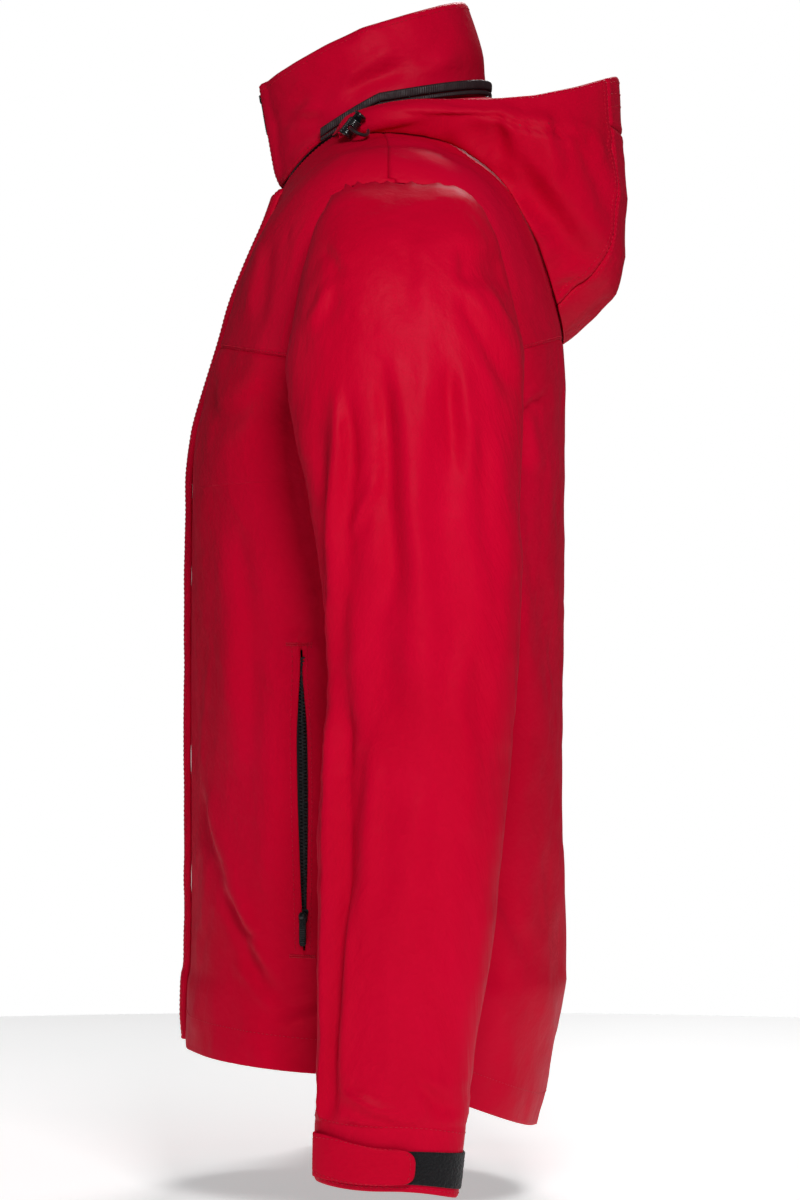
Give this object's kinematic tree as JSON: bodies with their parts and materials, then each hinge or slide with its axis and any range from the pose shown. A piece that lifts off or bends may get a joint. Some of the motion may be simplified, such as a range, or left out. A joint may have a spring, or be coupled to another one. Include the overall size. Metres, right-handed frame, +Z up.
{
  "type": "hooded shell jacket",
  "caption": "Waterproof shell jacket with a zip-off hood, stand-up collar, covered front zip, zipped hand pockets and adjustable cuffs, as worn.",
  "frame": {"origin": "centre of the neck seam, level with its lowest point at the front", "axes": "+Z up, towards the collar; -Y towards the front zip; +X towards the wearer's left"},
  "size_m": [0.6542, 0.3291, 0.8466],
  "materials": {
    "shell_cloth": "matt coated woven shell cloth",
    "lining_mesh": "dark knitted mesh",
    "black_zip": "black moulded teeth on woven tape",
    "coil_zip": "dark maroon-grey coil on woven tape",
    "hook_and_loop": "black hook-and-loop pile",
    "lock_plastic": "black moulded plastic",
    "slider_enamel": "black enamelled zinc",
    "elastic_cord": "braided elastic cord",
    "woven_tape": "black woven tape",
    "dark_metal": "blackened metal ring",
    "spring_steel": "plain spring steel"
  },
  "bodies": {
    "shell": {"back_panel": "shell_cloth", "back_yoke": "shell_cloth", "left_front_panel": "shell_cloth", "right_front_panel": "shell_cloth", "left_front_yoke": "shell_cloth", "right_front_yoke": "shell_cloth", "hem_facing": "shell_cloth", "collar_shell": "shell_cloth", "collar_lining": "lining_mesh", "chin_guard": "shell_cloth", "hang_loop": "woven_tape", "body_lining": "lining_mesh", "inner_flap": "shell_cloth", "front_zip_left_half": "black_zip", "front_zip_right_half": "black_zip", "front_zip_stops": "black_zip", "left_pocket_bag": "lining_mesh", "right_pocket_bag": "lining_mesh", "left_pocket_zip": "black_zip", "right_pocket_zip": "black_zip", "hood_zip_collar_half": "coil_zip", "hood_zip_hood_half": "coil_zip", "hood_neck_panel": "shell_cloth", "flap_loop_patches": "hook_and_loop", "storm_flap_top": "shell_cloth", "left_hood_cord_lock": "lock_plastic", "right_hood_cord_lock": "lock_plastic", "left_hood_cord": "elastic_cord", "right_hood_cord": "elastic_cord", "hood_eyelets": "dark_metal", "left_lock_spring": "spring_steel", "right_lock_spring": "spring_steel"},
    "hood": {"hood_left_panel": "shell_cloth", "hood_right_panel": "shell_cloth", "hood_centre_panel": "shell_cloth", "hood_brim": "shell_cloth", "hood_nape_panel": "shell_cloth"},
    "storm_flap": {"storm_flap": "shell_cloth", "flap_hook_patches": "hook_and_loop"},
    "left_sleeve": {"left_sleeve": "shell_cloth", "left_under_sleeve": "shell_cloth", "left_cuff_facing": "shell_cloth", "left_cuff_loop_patch": "hook_and_loop"},
    "right_sleeve": {"right_sleeve": "shell_cloth", "right_under_sleeve": "shell_cloth", "right_cuff_facing": "shell_cloth", "right_cuff_loop_patch": "hook_and_loop"},
    "left_cuff_tab": {"left_cuff_tab": "shell_cloth", "left_cuff_hook_patch": "hook_and_loop"},
    "right_cuff_tab": {"right_cuff_tab": "shell_cloth", "right_cuff_hook_patch": "hook_and_loop"},
    "front_zip_slider": {"front_zip_slider": "slider_enamel"},
    "front_zip_pull": {"front_zip_pull": "slider_enamel"},
    "left_pocket_slider": {"left_pocket_slider": "slider_enamel"},
    "right_pocket_slider": {"right_pocket_slider": "slider_enamel"},
    "left_pocket_pull": {"left_pocket_pull": "slider_enamel"},
    "right_pocket_pull": {"right_pocket_pull": "slider_enamel"},
    "left_lock_button": {"left_lock_button": "lock_plastic"},
    "right_lock_button": {"right_lock_button": "lock_plastic"}
  },
  "joints": [
    {"name": "hood_lift", "type": "hinge", "parent": "shell", "child": "hood", "pos_m": [0, -0.03, 0.03], "axis": [1, 0, 0], "range_deg": [0, 45]},
    {"name": "storm_flap_open", "type": "hinge", "parent": "shell", "child": "storm_flap", "pos_m": [0.033, -0.13908, -0.4019], "axis": [0, 0.0211, 0.9998], "range_deg": [0, 110]},
    {"name": "left_sleeve_swing", "type": "hinge", "parent": "shell", "child": "left_sleeve", "pos_m": [0.2065, 0.0238, -0.15], "axis": [1, 0, 0], "range_deg": [-45, 15]},
    {"name": "right_sleeve_swing", "type": "hinge", "parent": "shell", "child": "right_sleeve", "pos_m": [-0.2065, 0.0238, -0.15], "axis": [1, 0, 0], "range_deg": [-45, 15]},
    {"name": "left_cuff_tab_open", "type": "hinge", "parent": "left_sleeve", "child": "left_cuff_tab", "pos_m": [0.295, -0.0424, -0.678], "axis": [0, 0, -1], "range_deg": [0, 100]},
    {"name": "right_cuff_tab_open", "type": "hinge", "parent": "right_sleeve", "child": "right_cuff_tab", "pos_m": [-0.295, -0.0424, -0.678], "axis": [0, 0, 1], "range_deg": [0, 100]},
    {"name": "front_zip_slide", "type": "slide", "parent": "shell", "child": "front_zip_slider", "axis": [0, 0.1749, -0.9846], "range_m": [0, 0.036]},
    {"name": "front_zip_pull_swing", "type": "hinge", "parent": "front_zip_slider", "child": "front_zip_pull", "pos_m": [0, -0.08434, 0.06814], "axis": [-1, 0, 0], "range_deg": [0, 140]},
    {"name": "left_pocket_zip_slide", "type": "slide", "parent": "shell", "child": "left_pocket_slider", "axis": [-0.0045, -0.0148, 0.9999], "range_m": [0, 0.165]},
    {"name": "right_pocket_zip_slide", "type": "slide", "parent": "shell", "child": "right_pocket_slider", "axis": [0.0045, -0.0148, 0.9999], "range_m": [0, 0.165]},
    {"name": "left_pocket_pull_swing", "type": "hinge", "parent": "left_pocket_slider", "child": "left_pocket_pull", "pos_m": [0.19378, -0.04887, -0.52436], "axis": [0.9563, -0.2924, 0], "range_deg": [-50, 50]},
    {"name": "right_pocket_pull_swing", "type": "hinge", "parent": "right_pocket_slider", "child": "right_pocket_pull", "pos_m": [-0.19378, -0.04887, -0.52436], "axis": [-0.9563, -0.2924, 0], "range_deg": [-50, 50]},
    {"name": "left_hood_lock_press", "type": "slide", "parent": "shell", "child": "left_lock_button", "axis": [0, -0.6157, -0.788], "range_m": [0, 0.0024], "stiffness_N_per_m": 150},
    {"name": "right_hood_lock_press", "type": "slide", "parent": "shell", "child": "right_lock_button", "axis": [0, -0.6157, -0.788], "range_m": [0, 0.0024], "stiffness_N_per_m": 150}
  ]
}
